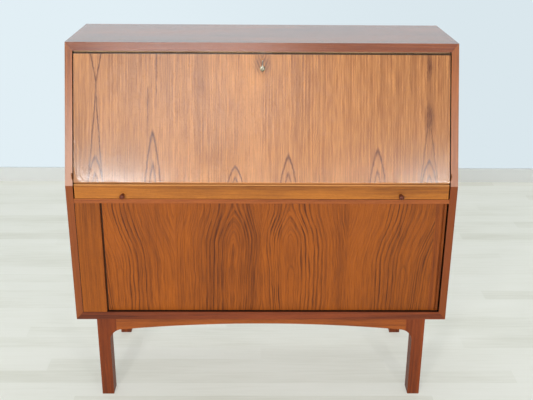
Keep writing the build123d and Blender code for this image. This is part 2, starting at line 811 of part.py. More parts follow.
for face_y, name in ((front_leg, "front"), (rear_leg + leg_depth - apron_thickness, "rear")):
    with BuildPart() as apron:
        with BuildSketch(Plane.XZ.offset(-face_y - apron_thickness)):
            with BuildLine():
                Line((-joint_x, joint_z), (-joint_x, case_bottom))
                Line((-joint_x, case_bottom), (joint_x, case_bottom))
                Line((joint_x, case_bottom), (joint_x, joint_z))
                RadiusArc((joint_x, joint_z), (corner_x, apron_end), -corner_radius)
                ThreePointArc((corner_x, apron_end), (0, apron_middle), (-corner_x, apron_end))
                RadiusArc((-corner_x, apron_end), (-joint_x, joint_z), -corner_radius)
            make_face()
        extrude(amount=apron_thickness)
    save(apron, f"apron_{name}")

for side, name in ((-1, "left"), (1, "right")):
    board(
        f"side_rail_{name}",
        tuple(sorted((side * rail_inner, side * (rail_inner + apron_thickness)))),
        (front_leg + leg_depth, rear_leg),
        (case_bottom - rail_height, case_bottom),
    )

with BuildPart() as corner_blocks:
    frame_front = (front_leg + apron_thickness, front_leg + leg_depth)
    frame_rear = (rear_leg + leg_depth - apron_thickness, rear_leg)
    for side in (-1, 1):
        for (apron_y, leg_y), way in ((frame_front, 1), (frame_rear, -1)):
            with BuildSketch(Plane.XY.offset(case_bottom - block_thickness)):
                Polygon(
                    (side * joint_x, apron_y),
                    (side * (joint_x - corner_reach), apron_y),
                    (side * rail_inner, leg_y + way * corner_reach),
                    (side * rail_inner, leg_y),
                    (side * joint_x, leg_y),
                    align=None,
                )
            extrude(amount=block_thickness)
    with BuildSketch(Plane.XY.offset(case_bottom - block_thickness)):
        with Locations(*screw_spots):
            Circle(screw_radius)
    extrude(amount=block_thickness, mode=Mode.SUBTRACT)
save(corner_blocks, "corner_blocks")

with BuildPart() as base_screws:
    with BuildSketch(Plane.XY.offset(case_bottom - block_thickness)):
        with Locations(*screw_spots):
            Circle(screw_radius)
    extrude(amount=block_thickness + screw_depth)
    with BuildSketch(Plane.XY.offset(case_bottom - block_thickness)):
        with Locations(*screw_spots):
            Circle(2 * screw_radius)
    extrude(amount=-2.0)
save(base_screws, "base_screws")
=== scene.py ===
import math

import bmesh
import bpy
from mathutils import Matrix, Vector


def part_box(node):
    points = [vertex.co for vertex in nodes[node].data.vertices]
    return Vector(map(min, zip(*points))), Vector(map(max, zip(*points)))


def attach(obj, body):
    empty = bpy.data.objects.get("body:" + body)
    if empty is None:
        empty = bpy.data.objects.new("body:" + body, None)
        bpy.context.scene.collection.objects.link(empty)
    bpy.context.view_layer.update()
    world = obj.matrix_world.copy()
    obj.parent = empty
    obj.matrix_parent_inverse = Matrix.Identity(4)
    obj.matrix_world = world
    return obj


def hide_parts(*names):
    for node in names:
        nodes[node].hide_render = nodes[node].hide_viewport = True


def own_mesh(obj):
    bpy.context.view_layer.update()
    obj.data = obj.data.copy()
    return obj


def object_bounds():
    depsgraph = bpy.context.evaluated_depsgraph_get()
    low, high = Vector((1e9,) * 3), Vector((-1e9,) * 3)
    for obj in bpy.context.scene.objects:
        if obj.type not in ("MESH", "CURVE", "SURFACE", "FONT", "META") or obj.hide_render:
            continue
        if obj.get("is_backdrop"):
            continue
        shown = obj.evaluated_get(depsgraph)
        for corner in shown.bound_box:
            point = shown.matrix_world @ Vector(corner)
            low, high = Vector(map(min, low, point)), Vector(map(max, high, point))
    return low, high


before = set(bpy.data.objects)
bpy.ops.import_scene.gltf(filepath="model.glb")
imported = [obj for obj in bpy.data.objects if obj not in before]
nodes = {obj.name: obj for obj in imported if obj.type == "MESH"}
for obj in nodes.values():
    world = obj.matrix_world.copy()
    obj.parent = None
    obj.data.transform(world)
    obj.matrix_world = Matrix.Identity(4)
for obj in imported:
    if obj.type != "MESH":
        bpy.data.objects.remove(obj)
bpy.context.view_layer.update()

# ---------------------------------------------------------------------------------------------
# Case: two sides, a top and a bottom board, mitred at the corners, and the two boards housed
# between the sides. All are blockboard faced with straight-grained teak veneer, oiled, with the
# grain along the length of each board.
# ---------------------------------------------------------------------------------------------


def paint(red, green, blue, alpha=1.0):
    """A colour as it looks on screen, 0 to 255, as the linear colour that a shader wants."""
    def linear(value):
        value /= 255
        return value / 12.92 if value <= 0.04045 else ((value + 0.055) / 1.055) ** 2.4
    return (linear(red), linear(green), linear(blue), alpha)


class Finish:
    """A finish being mixed: a material's node tree, with a short method for each kind of node."""

    def __init__(self, name, roughness=0.45, gloss=0.5):
        self.material = bpy.data.materials.new(name)
        self.material.use_nodes = True
        self.tree = self.material.node_tree
        self.surface = self.tree.nodes["Principled BSDF"]
        self.surface.inputs["Roughness"].default_value = roughness
        self.surface.inputs["Specular IOR Level"].default_value = gloss
        self.place = self.node("ShaderNodeTexCoord").outputs["Object"]
        split = self.node("ShaderNodeSeparateXYZ")
        self.feed(split.inputs[0], self.place)
        self.x, self.y, self.z = split.outputs

    def node(self, kind, **settings):
        made = self.tree.nodes.new(kind)
        for setting, value in settings.items():
            setattr(made, setting, value)
        return made

    def feed(self, socket, value):
        if isinstance(value, bpy.types.NodeSocket):
            self.tree.links.new(value, socket)
        else:
            socket.default_value = value

    def calc(self, operation, *values):
        made = self.node("ShaderNodeMath", operation=operation)
        for socket, value in zip(made.inputs, values):
            self.feed(socket, value)
        return made.outputs[0]

    def add(self, first, *others):
        for other in others:
            first = self.calc("ADD", first, other)
        return first

    def times(self, first, *others):
        for other in others:
            first = self.calc("MULTIPLY", first, other)
        return first

    def point(self, x, y, z):
        made = self.node("ShaderNodeCombineXYZ")
        for socket, value in zip(made.inputs, (x, y, z)):
            self.feed(socket, value)
        return made.outputs[0]

    def noise(self, place, detail=2.0, roughness=0.5, scale=1.0):
        """Cloudy noise about 0, most of it between -0.3 and 0.3."""
        made = self.node("ShaderNodeTexNoise")
        self.feed(made.inputs["Vector"], place)
        self.feed(made.inputs["Scale"], scale)
        self.feed(made.inputs["Detail"], detail)
        self.feed(made.inputs["Roughness"], roughness)
        return self.calc("SUBTRACT", made.outputs["Fac"], 0.5)

    def fade(self, value, start, end, low=0.0, high=1.0):
        """Goes smoothly from low to high as value goes from start to end."""
        made = self.node("ShaderNodeMapRange", interpolation_type="SMOOTHSTEP")
        for socket, number in zip(made.inputs, (value, start, end, low, high)):
            self.feed(socket, number)
        return made.outputs["Result"]

    def ramp(self, value, *stops, way="LINEAR"):
        made = self.node("ShaderNodeValToRGB")
        band = made.color_ramp
        band.interpolation = way
        while len(band.elements) < len(stops):
            band.elements.new(0.5)
        for element, (position, colour) in zip(band.elements, stops):
            element.position = position
            element.color = colour
        self.feed(made.inputs["Fac"], value)
        return made.outputs["Color"]

    def mix(self, share, first, second, way="MIX"):
        made = self.node("ShaderNodeMix", data_type="RGBA", blend_type=way)
        self.feed(made.inputs[0], share)
        self.feed(made.inputs[6], first)
        self.feed(made.inputs[7], second)
        return made.outputs[2]

    def relief(self, height, depth):
        made = self.node("ShaderNodeBump")
        self.feed(made.inputs["Distance"], depth)
        self.feed(made.inputs["Height"], height)
        self.feed(self.surface.inputs["Normal"], made.outputs["Normal"])


# near black, painted in as shade
painted_shade_black = (16, 9, 6)


def wood(finish, across, through, along, tone, lines=1.0, pitch=0.009, fibre=1.0, cloud=1.0,
         spread=1.0, strand=14.0, late=0.4, bands=1.0, seed=0.0, roughness=0.45, gloss=0.3,
         figure=None, figure_tone=None, lipping_and_sheen=None, lipping_and_sheen_tone=None, shade=None):
    """Colours a finish as wood. across, through and along place a point in the timber: across the
    growth lines, through the board and along the grain. tone is its usual colour, spread how far
    the darkest and lightest streaks are from it, strand how short its fibres are, late how dark
    the thin lines of late wood are. The shares, 0 to 1, that follow are: of the darker figure; of
    a tone of its own, for lippings and for a painted sheen or highlight; and of black, painted in
    as shade in gaps and recesses and where less light falls."""
    finish.surface.inputs["Specular IOR Level"].default_value = gloss
    tones = [tuple(c * (1 + spread * step * turn) for c, turn in zip(tone, (0.9, 1.1, 1.15)))
             for step in (-0.36, -0.12, 0.0, 0.13)]
    slow = finish.add(finish.times(along, 1.4), seed)
    band = finish.noise(finish.point(finish.times(across, 0.25 / pitch), finish.times(through, 12),
                                     finish.times(slow, 0.5)), 2.0, 0.6)
    line = finish.noise(finish.point(finish.times(across, 1 / pitch), finish.times(through, 60),
                                     slow), 3.0, 0.62)
    hair = finish.noise(finish.point(finish.times(across, 700), finish.times(through, 500),
                                     finish.times(along, strand)), 2.0, 0.6)
    pore = finish.noise(finish.point(finish.times(across, 2600), finish.times(through, 2600),
                                     finish.times(along, 150)), 0.0)
    fleck = finish.noise(finish.point(finish.times(across, 320), finish.times(through, 240),
                                      finish.times(along, 16)), 1.0)
    cloudy = finish.noise(finish.point(finish.times(across, 5), finish.times(through, 5),
                                       finish.add(finish.times(along, 2.2), seed)), 2.0)
    shift = finish.add(0.5, finish.times(band, 0.9 * bands, lines), finish.times(line, 1.5, lines),
                       finish.times(hair, 0.4, fibre), finish.times(fleck, 0.5, fibre),
                       finish.times(cloudy, 0.7, cloud))
    dark, low, middle, light = (paint(*t) for t in tones)
    colour = finish.ramp(shift, (0.12, dark), (0.38, low), (0.54, middle), (0.82, light))
    season = finish.noise(finish.point(finish.times(across, 0.45 / pitch),
                                       finish.times(through, 30), finish.times(slow, 0.6)), 1.0)
    late_line = finish.times(finish.fade(finish.calc("ABSOLUTE", season), 0.0, 0.10, late, 0.0),
                             finish.fade(cloudy, -0.15, 0.15, 1.0, 0.3))
    colour = finish.mix(late_line, colour, dark)
    dash = finish.fade(pore, 0.10, 0.24)
    colour = finish.mix(finish.times(dash, 0.35), colour, dark)
    if figure is not None:
        colour = finish.mix(figure, colour, paint(*figure_tone))
    if lipping_and_sheen is not None:
        colour = finish.mix(lipping_and_sheen, colour, paint(*lipping_and_sheen_tone))
    if shade is not None:
        colour = finish.mix(shade, colour, paint(*painted_shade_black))
    finish.feed(finish.surface.inputs["Base Color"], colour)
    rough = finish.add(roughness, finish.times(hair, 0.14), finish.times(cloudy, 0.12),
                       finish.times(dash, 0.1))
    if lipping_and_sheen is not None:
        rough = finish.add(rough, finish.times(lipping_and_sheen, 0.35))
    finish.feed(finish.surface.inputs["Roughness"], rough)
    finish.relief(finish.add(finish.times(hair, 0.5), finish.times(line, 0.4),
                             finish.times(fleck, 0.5), finish.times(dash, -0.6)), 0.00022)
    return finish.material


# The front edges of the case stand upright up to the drop front's foot and lean back above it
# by that share of the height. Their lippings' tone ends between two depths.
front_edge = -0.2135
slope_foot = 0.696
slope_lean = 0.3643
lipping_end = (0.0010, 0.0016)
black_border = 0.0004


def straight_teak(name, grain, tone, seed, heart=0.35, lipped=False,
                  shaded_recess=None, highlight_height=None, edge=None, **looks):
    """Teak veneer or board with its grain along one axis; its growth lines wander a little, and
    heart is how far they lean on their way through it. lipped is for the sides, which have
    lippings on the front edge; edge is how dark the top board's lipped front edge is. The box of
    two corners given for shaded recesses is painted black as shade: in a lipped piece it lies at
    both ends of the case, with its y counted from the front edge. Above the height given for a
    highlight the wood is painted pale, as a painted highlight."""
    finish = Finish(name)
    if lipped or edge:
        lean = finish.times(finish.calc("MAXIMUM", finish.add(finish.z, -slope_foot), 0.0),
                            -slope_lean)
        depth = finish.add(finish.y, -front_edge, lean)
        on_edge = finish.fade(depth, *lipping_end, 1.0, 0.0)
    # painted shade: black is painted into the box, where the gaps and recesses are dark
    if shaded_recess:
        inside = 1.0
        corner = (finish.x, finish.y, finish.z)
        if lipped:
            corner = (finish.calc("ABSOLUTE", finish.x), depth, finish.z)
        for value, start, end in zip(corner, *shaded_recess):
            inside = finish.times(finish.fade(value, start - black_border, start, 0.0, 1.0),
                                  finish.fade(value, end, end + black_border, 1.0, 0.0), inside)
        looks["shade"] = finish.times(inside, 0.96)
    if edge:
        looks["figure"] = finish.times(on_edge, edge)
        looks["figure_tone"] = (108, 46, 16)
    # painted highlight: above the given height the wood is painted pale
    if highlight_height:
        looks["lipping_and_sheen"] = finish.fade(finish.z, highlight_height - 0.0002, highlight_height, 0.0, 0.85)
        looks["lipping_and_sheen_tone"] = (240, 176, 108)
    axes = {"x": (finish.z, finish.y, finish.x), "y": (finish.x, finish.z, finish.y),
            "z": (finish.x, finish.y, finish.z)}
    across, through, along = axes[grain]
    if lipped:
        # The grain runs along the lipping. Below the drop front it is darker, and painted darker
        # still towards the right as painted shade; above it a pale painted sheen lies on it, most of
        # all low down on the left.
        foot = (slope_foot - 0.0005, slope_foot + 0.0005)
        looks["figure"] = finish.times(finish.fade(finish.z, *foot, 0.6, 0.0), on_edge,
                                       finish.fade(finish.x, -0.3, 0.3, 1.0, 1.4))
        looks["figure_tone"] = (118, 50, 5)
        looks["lipping_and_sheen"] = finish.times(finish.fade(finish.z, *foot, 0.0, 0.5), on_edge,
                                        finish.fade(finish.x, -0.3, 0.3, 1.0, 0.32),
                                        finish.fade(finish.z, 0.72, 1.03, 0.85, 0.15))
        looks["lipping_and_sheen_tone"] = (220, 182, 162)
        through = finish.times(finish.y, finish.fade(depth, 0.0012, 0.0016))
    across = finish.add(across, finish.times(through, heart))
    sway = finish.noise(finish.point(finish.times(across, 4), finish.times(through, 4),
                                     finish.add(finish.times(along, 1.1), seed)), 1.0)
    across = finish.add(across, finish.times(sway, 0.03))
    return wood(finish, across, through, along, tone, seed=seed, **looks)


def dress(finish, *names):
    """Gives CAD nodes their finish."""
    for name in names:
        for held in nodes[name].material_slots:
            held.material = finish


# Black is painted in as shade in the gaps beside the drop front, drawer and tambour, above the
# drop front and below the tambour. It starts and ends that far behind the front edges.
gap_start, gap_end = 0.0008, 0.022
side_inner = 0.529
stile_edge = -0.458
bottom_face = 0.297
top_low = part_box("top_board")[0]
side_teak = straight_teak("teak_sides", "z", (156, 86, 36), 3.1, heart=1.0, lipped=True,
                          lines=0.6, gloss=0.4, roughness=0.34,
                          shaded_recess=((side_inner - 0.001, gap_start, bottom_face + 0.001),
                                  (side_inner + 0.0002, gap_end, top_low.z)))
top_teak = straight_teak("teak_top", "x", (160, 90, 50), 7.7, heart=1.0, lines=0.7, spread=1.3,
                         pitch=0.004, gloss=0.5, roughness=0.24, edge=0.5,
                         shaded_recess=((-side_inner - 0.001, top_low.y + gap_start, top_low.z - 0.001),
                                 (side_inner + 0.001, top_low.y + gap_end, top_low.z + 0.0002)))
top_surface = top_teak.node_tree.nodes["Principled BSDF"].inputs
top_surface["Coat Weight"].default_value = 0.6
top_surface["Coat Roughness"].default_value = 0.15
bottom_teak = straight_teak("teak_bottom", "x", (122, 55, 24), 12.4, heart=1.0, lines=0.8,
                            shaded_recess=((stile_edge, front_edge + 0.003, bottom_face - 0.0008),
                                    (side_inner + 0.001, front_edge + 0.0235,
                                     bottom_face + 0.0005)))
rail_teak = straight_teak("teak_boards", "x", (150, 79, 33), 5.3, heart=1.0, lines=0.7)
dress(side_teak, "side_left", "side_right")
dress(top_teak, "top_board")
dress(bottom_teak, "bottom_board")
dress(rail_teak, "divider_board", "writing_shelf")

# ---------------------------------------------------------------------------------------------
# Back panel and liners: birch plywood under a light stain. The back panel lies in a rebate round
# the back of the case; the liners keep stored things off the curtain.
# ---------------------------------------------------------------------------------------------
plywood = straight_teak("birch_plywood", "z", (190, 152, 106), 21.0, lines=0.3, pitch=0.008,
                        bands=0.6, spread=0.6, late=0.2, cloud=0.7)
dress(plywood, "back_panel", "liner_left", "liner_back")

# ---------------------------------------------------------------------------------------------
# Inside the case: partition, shelves and their battens in the cupboard, pigeonholes, letter
# shelves and small drawers behind the flap. Plain teak boards; trays and battens are beech.
# ---------------------------------------------------------------------------------------------
inside_flat = straight_teak("teak_shelves", "x", (170, 102, 52), 31.0, heart=1.0, lines=0.7)
inside_upright = straight_teak("teak_uprights", "z", (170, 102, 52), 33.0, heart=1.0, lines=0.7)
dress(inside_flat, "shelf_left", "shelf_right", "pigeonhole_shelf", "letter_shelf_left",
      "letter_shelf_right", "small_drawer_front_left", "small_drawer_front_middle",
      "small_drawer_front_right")
dress(inside_upright, "partition", "pigeonhole_divider_left", "pigeonhole_divider_right")
beech = straight_teak("beech", "x", (206, 166, 122), 41.0, heart=1.0, lines=0.35, pitch=0.006,
                      roughness=0.5)
dress(beech, "shelf_battens", "flap_stop", "small_drawer_tray_left", "small_drawer_tray_middle",
      "small_drawer_tray_right")

# ---------------------------------------------------------------------------------------------
# Drop front: one panel, faced with crown-cut teak veneer in book-matched leaves, grain upright.
# Each pair of leaves mirrors the next, so the small arches at its foot come in pairs.
# ---------------------------------------------------------------------------------------------


def book_matched(finish, x, leaf):
    """(distance from the nearest mirrored joint, number of the leaf) for leaves of that width."""
    return finish.calc("PINGPONG", x, leaf), finish.calc("FLOOR", finish.calc("DIVIDE", x, leaf))


figure_brown = (84, 38, 24)
flap_leaf = 0.197
flap_foot = 0.702
veneer = Finish("teak_flap_veneer")
u, leaf_number = book_matched(veneer, veneer.x, flap_leaf)
height = veneer.add(veneer.z, -flap_foot)
sway = veneer.noise(veneer.point(veneer.times(u, 9), leaf_number, veneer.times(height, 2.5)), 2.0)
ripple = veneer.noise(veneer.point(veneer.times(veneer.x, 30), 0, veneer.times(height, 30)), 2.0)
jag = veneer.noise(veneer.point(veneer.times(veneer.x, 60), 5, veneer.times(height, 130)), 1.0)
wander = veneer.add(veneer.times(sway, 0.008), veneer.times(ripple, 0.0035),
                    veneer.times(jag, 0.0030))

# How high the outer arch of each leaf reaches, as a share of full_height, from the left leaf to
# the right one, and how far it stands from its leaf's mirrored joint, as a share of full_place.
# The first leaf also carries two long lines that cross, the second a broken pair of lines, and
# the last two dark flames. Heights are counted from the panel's foot.
full_height, full_place = 0.15, 0.10
arch_heights = (0.48, 0.88, 0.32, 0.50, 0.60, 0.42)
arch_places = (0.71, 0.88, 0.755, 0.73, 0.71, 0.74)
outer_arch, inner_arch = 0.0215, 0.0085  # half widths at the foot
peak_climb = 0.021
arch_colours = veneer.ramp(veneer.calc("DIVIDE", veneer.add(leaf_number, 3.5), 6.0),
                           *((n / 6, (h, place, 0, 1)) for n, (h, place)
                             in enumerate(zip(arch_heights, arch_places))), way="CONSTANT")
parts = veneer.node("ShaderNodeSeparateXYZ")
veneer.feed(parts.inputs[0], arch_colours)
reach, place = parts.outputs[0], parts.outputs[1]
side = veneer.add(u, veneer.times(place, -full_place), wander)
arch_slope = veneer.calc("DIVIDE", peak_climb, veneer.times(reach, full_height))
climb = veneer.times(veneer.calc("MAXIMUM", veneer.add(height, 0.004), 0.0), arch_slope)


def growth_ring(finish, side, rise, bend):
    """Which growth line a point lies on, by its half width at the foot. With a bend of 1 the
    lines meet in a point above the foot, with 2 in a round arch."""
    return finish.calc("POWER", finish.add(
        finish.calc("POWER", finish.calc("ABSOLUTE", side), bend),
        finish.calc("POWER", rise, bend)), 1 / bend)


def drawn_line(finish, distance, width, strength):
    """A dark line of the figure where distance is 0."""
    return finish.fade(finish.calc("ABSOLUTE", distance), 0.0, width, strength, 0.0)


ring = growth_ring(veneer, side, veneer.calc("MINIMUM", climb, 0.034), 1.35)
outer_joint = 2 * flap_leaf
blur = 0.001
outer_leaves = veneer.fade(veneer.calc("ABSOLUTE", veneer.x), outer_joint - blur,
                           outer_joint + blur)
left_leaf = veneer.times(outer_leaves, veneer.fade(veneer.x, -0.1, 0.1, 1.0, 0.0))
second_leaf = veneer.times(
    veneer.fade(veneer.x, -outer_joint - blur, -outer_joint + blur, 0.0, 1.0),
    veneer.fade(veneer.x, -flap_leaf - blur, -flap_leaf + blur, 1.0, 0.0))
right_leaf = veneer.times(outer_leaves, veneer.fade(veneer.x, -0.1, 0.1, 0.0, 1.0))
offset = veneer.calc("ABSOLUTE", side)
crossing_foot, crossing_head = 0.237, 0.267
below = veneer.calc("MAXIMUM", veneer.add(crossing_foot, veneer.times(height, -1)), 0.0)
above = veneer.calc("MAXIMUM", veneer.add(height, -crossing_head), 0.0)
crossing = drawn_line(veneer, veneer.add(offset, veneer.times(below, -0.085),
                                         veneer.times(above, -0.20)), 0.0036, 1.0)


def flame(finish, across, up, width, length):
    """A dark flame-shaped patch about the point where across and up are 0."""
    away = finish.calc("SQRT", finish.add(
        finish.calc("POWER", finish.calc("DIVIDE", across, width), 2),
        finish.calc("POWER", finish.calc("DIVIDE", up, length), 2)))
    return finish.fade(away, 0.2, 1.0, 1.0, 0.0)


strands = veneer.fade(veneer.calc("PINGPONG", veneer.add(side, veneer.times(jag, 0.004)), 0.0028),
                      0.0, 0.0024, 1.0, 0.5)
upper_flame, lower_flame = 0.305, 0.175
flames = veneer.times(strands, veneer.calc(
    "MAXIMUM", flame(veneer, side, veneer.add(height, -upper_flame), 0.011, 0.050),
    flame(veneer, side, veneer.add(height, -lower_flame), 0.021, 0.060)))
# two lines part below the lower flame
flame_legs = veneer.times(
    drawn_line(veneer, veneer.add(offset, veneer.times(veneer.calc(
        "MAXIMUM", veneer.add(0.19, veneer.times(height, -1)), 0.0), -0.13)), 0.0034, 0.8),
    veneer.fade(height, lower_flame - 0.010, lower_flame + 0.010, 1.0, 0.0))
# short dark rays rise round the keyhole
knot_height = 0.315
from_keyhole = veneer.add(veneer.x, 0.001)
knot = flame(veneer, from_keyhole, veneer.add(height, -knot_height), 0.034, 0.040)
rays = veneer.calc("ABSOLUTE", veneer.add(
    veneer.calc("ABSOLUTE", from_keyhole),
    veneer.times(veneer.add(height, 0.045 - knot_height), -0.45), wander))
knot_lines = veneer.times(knot, veneer.fade(veneer.calc("PINGPONG", rays, 0.0045), 0.0, 0.004,
                                            1.0, 0.3))
arches = veneer.calc("MAXIMUM", drawn_line(veneer, veneer.add(ring, -outer_arch), 0.0036, 1.0),
                     drawn_line(veneer, veneer.add(ring, -inner_arch), 0.0034, 0.9))
long_lines = veneer.times(drawn_line(veneer, veneer.add(offset, -0.0125), 0.0034, 0.9),
                          veneer.fade(height, 0.08, 0.16, 0.0, 1.0),
                          veneer.fade(veneer.noise(veneer.point(veneer.times(side, 40), 3.0,
                                                                veneer.times(height, 14)), 1.0),
                                      -0.12, 0.05, 0.1, 1.0))
figure = veneer.calc("MAXIMUM", arches, veneer.times(left_leaf, crossing))
figure = veneer.calc("MAXIMUM", figure, veneer.times(second_leaf, long_lines))
figure = veneer.calc("MAXIMUM", figure, veneer.times(
    right_leaf, veneer.calc("MAXIMUM", flame_legs, flames)))
figure = veneer.calc("MAXIMUM", figure, veneer.times(knot_lines, 0.85))
broken = veneer.noise(veneer.point(veneer.times(veneer.x, 260), 0, veneer.times(height, 50)), 2.0)
figure = veneer.times(figure, veneer.fade(broken, -0.25, 0.15, 0.55, 1.0))
# a solid lipping shows along the foot and, worn wider, up the left edge from the corner
flap_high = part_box("flap_panel")[1]
corner = veneer.add(veneer.x, flap_high.x + 0.0005, veneer.times(height, 0.15),
                    veneer.times(ripple, 0.02))
flap_lipping = veneer.calc("MAXIMUM", veneer.fade(veneer.add(height, veneer.times(ripple, 0.006)),
                                                  0.003, 0.0055, 0.8, 0.0),
                           veneer.fade(corner, 0.009, 0.012, 0.85, 0.0))
# painted shade: the panel's side edges and the top of its face, up to 2.6 mm down, are painted near
# black, as the gaps round it are dark
flap_gap_shade = veneer.calc("MAXIMUM",
                         veneer.fade(veneer.calc("ABSOLUTE", veneer.x), flap_high.x - 0.0005,
                                     flap_high.x - 0.0002, 0.0, 0.82),
                         veneer.fade(veneer.z, flap_high.z - 0.0026, flap_high.z - 0.0021,
                                     0.0, 0.9))
# painted shade: both ends of the panel are a little darker than its middle, most of all their lower
# corners
low_down = veneer.fade(height, 0.02, 0.17, 1.0, 0.0)
left_end_shade = veneer.add(veneer.fade(veneer.x, -0.5, -0.05, 0.10, 0.0), veneer.times(
    veneer.fade(veneer.x, -0.42, -0.20, 0.24, 0.0), low_down))
right_end_shade = veneer.add(veneer.fade(veneer.x, 0.15, 0.5, 0.0, 0.07), veneer.times(
    veneer.fade(veneer.x, 0.30, 0.48, 0.0, 0.22), low_down))
flap_shade = veneer.calc("MAXIMUM", flap_gap_shade, veneer.add(left_end_shade, right_end_shade))
flap_teak = wood(veneer, veneer.add(u, wander, veneer.times(leaf_number, 0.31)), 0.0, veneer.z,
                 (188, 126, 74), lines=0.26, pitch=0.0042, bands=0.35, late=0.55, strand=2.5,
                 seed=2.0, roughness=0.18, gloss=0.5, fibre=1.7, cloud=0.4,
                 lipping_and_sheen=flap_lipping, lipping_and_sheen_tone=(196, 128, 70), shade=flap_shade,
                 figure=figure, figure_tone=figure_brown)
dress(flap_teak, "flap_panel")

# ---------------------------------------------------------------------------------------------
# Fittings of the drop front: brass pivot pins in brass bushes, a steel lock let into the flap,
# its bolt, the brass strike in the top board, the brass rose round the keyhole.
# ---------------------------------------------------------------------------------------------


def metal(name, colour, roughness, tarnish, mottle=160):
    """Metal with fine scratches, tarnished in patches; the higher mottle is, the smaller they are."""
    finish = Finish(name, roughness)
    finish.surface.inputs["Metallic"].default_value = 1.0
    patch = finish.noise(finish.place, 3.0, 0.6, scale=mottle)
    scratch = finish.noise(finish.point(finish.times(finish.x, 2400), finish.times(finish.y, 300),
                                        finish.times(finish.z, 300)), 1.0)
    finish.feed(finish.surface.inputs["Base Color"],
                finish.mix(finish.fade(patch, -0.15, 0.2), paint(*colour), paint(*tarnish)))
    finish.feed(finish.surface.inputs["Roughness"],
                finish.add(roughness, finish.times(patch, 0.35), finish.times(scratch, 0.15)))
    finish.relief(scratch, 0.00004)
    return finish.material


brass = metal("brass", (158, 152, 126), 0.45, (104, 98, 76))
steel = metal("steel", (178, 180, 182), 0.35, (120, 116, 110))
old_brass = metal("old_brass", (168, 112, 74), 0.6, (128, 82, 52))
dress(old_brass, "flap_pivots", "pivot_bushes")
dress(brass, "escutcheon", "strike_plate", "lock_bolt")
dress(steel, "lock_case")

# ---------------------------------------------------------------------------------------------
# Key: one nickel-plated piece, a round shank with a turned collar, an oval bow with a rounded
# rim and a small bit. It goes through the rose into the lock, and its bit lifts the bolt.
# ---------------------------------------------------------------------------------------------
key_metal = metal("key_nickel", (206, 202, 186), 0.30, (40, 36, 26), mottle=420)
dress(key_metal, "key")

# ---------------------------------------------------------------------------------------------
# Shallow drawer: a teak front with beech sides and back, a plywood floor let into grooves
# in the sides, and two turned teak knobs. Pulled out, the drawer carries the open drop front.
# ---------------------------------------------------------------------------------------------
drawer_low, drawer_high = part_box("drawer_front")
# painted highlight: the last millimetre of the drawer front's top edge is painted pale
drawer_teak = straight_teak("teak_drawer_front", "x", (165, 98, 32), 15.0, heart=0.2, lines=0.55,
                            highlight_height=drawer_high.z - 0.0010)
dress(drawer_teak, "drawer_front")
beech_long = straight_teak("beech_drawer_sides", "y", (206, 166, 122), 43.0, lines=0.35,
                           pitch=0.006, roughness=0.5)
dress(beech_long, "drawer_side_left", "drawer_side_right")
dress(beech, "drawer_back")
dress(plywood, "drawer_bottom")
knob_teak = straight_teak("teak_turned", "y", (98, 44, 24), 51.0, heart=1.0, lines=0.6,
                          roughness=0.34)


def new_piece(name, shape, finish, body):
    """Turns a finished bmesh into an object that rides on a body of the frame."""
    mesh = bpy.data.meshes.new(name)
    bmesh.ops.recalc_face_normals(shape, faces=shape.faces)
    shape.to_mesh(mesh)
    shape.free()
    piece = bpy.data.objects.new(name, mesh)
    bpy.context.scene.collection.objects.link(piece)
    mesh.materials.append(finish)
    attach(piece, body)
    return piece


# Each knob is turned with a waist and a domed head; its tenon is glued into the drawer front.
knob_low, knob_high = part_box("drawer_knobs")
knob_reach = drawer_low.y - knob_low.y
knob_z = (knob_low.z + knob_high.z) / 2
knob_radius = (knob_high.z - knob_low.z) / 2
# (distance out from the drawer front, radius), both in mm
knob_profile = ((0.0, 5.0), (0.8, 4.8), (3.0, 4.6), (6.0, 4.6), (9.0, 5.0), (11.0, 5.9),
                (12.5, 6.7), (14.0, 7.1), (16.0, 7.2), (18.0, 6.9), (19.6, 5.9), (20.7, 4.1))
turns = 48
angles = [math.tau * turn / turns for turn in range(turns)]
knobs = bmesh.new()
for knob_x in (knob_low.x + knob_radius, knob_high.x - knob_radius):
    rings = []
    for out, radius in knob_profile:
        rings.append([knobs.verts.new((knob_x + radius / 1000 * math.cos(angle),
                                       drawer_low.y - out / 1000,
                                       knob_z + radius / 1000 * math.sin(angle)))
                      for angle in angles])
    tip = knobs.verts.new((knob_x, drawer_low.y - knob_reach, knob_z))
    knobs.faces.new(rings[0])
    for inner_ring, outer_ring in zip(rings, rings[1:]):
        for turn in range(turns):
            after = (turn + 1) % turns
            knobs.faces.new((inner_ring[turn], inner_ring[after], outer_ring[after],
                             outer_ring[turn]))
    for turn in range(turns):
        knobs.faces.new((rings[-1][turn], rings[-1][(turn + 1) % turns], tip))
for face in knobs.faces:
    face.smooth = len(face.verts) < 5
turned_knobs = new_piece("turned_knobs", knobs, knob_teak, "drawer")
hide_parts("drawer_knobs")

# ---------------------------------------------------------------------------------------------
# Tambour door: 48 teak slats glued to canvas, cut from one book-matched panel so that the figure
# runs on across them. Their tongues run in the tracks; the lead rail with its grip pulls them.
# ---------------------------------------------------------------------------------------------
slat_box_low, slat_box_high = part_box("tambour_slats")
lead_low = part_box("lead_rail")[0]
slat_count = 48
slat_joint = 0.0004
slat_pitch = (slat_box_high.x - slat_box_low.x + slat_joint) / slat_count
slat_gap = 0.0001  # between two slats with the canvas pulled tight
slat_thickness = 0.007
tongue_thickness = 0.0042
slat_face = lead_low.y
slat_foot, slat_head = 0.2982, 0.6428
track_middle = slat_face + slat_thickness / 2


